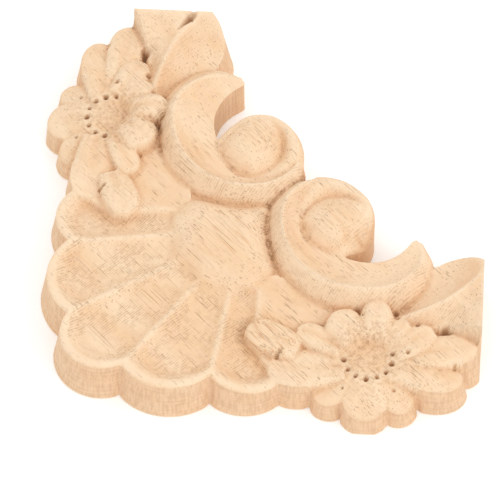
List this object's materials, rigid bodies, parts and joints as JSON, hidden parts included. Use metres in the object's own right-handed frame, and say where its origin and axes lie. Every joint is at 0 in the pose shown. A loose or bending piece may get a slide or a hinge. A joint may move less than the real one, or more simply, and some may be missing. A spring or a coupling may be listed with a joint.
{
  "type": "wood applique",
  "caption": "Carved wooden corner onlay: a fluted shell at the corner, twin scrolls with round eyes, and a flower with a leaf end on each arm; flat back.",
  "frame": {"origin": "under the middle of the square that bounds the applique, on its flat back", "axes": "+X and +Y run along the two arms towards their cut ends, the shell's corner points to -X -Y, and +Z is out of the carved face"},
  "size_m": [0.1, 0.1, 0.016],
  "materials": {
    "wood": "raw carved rubberwood, unsealed and matt, with tool marks and fuzzy fibres in the creases"
  },
  "bodies": {
    "root": {"corner_applique": "wood"}
  },
  "joints": []
}
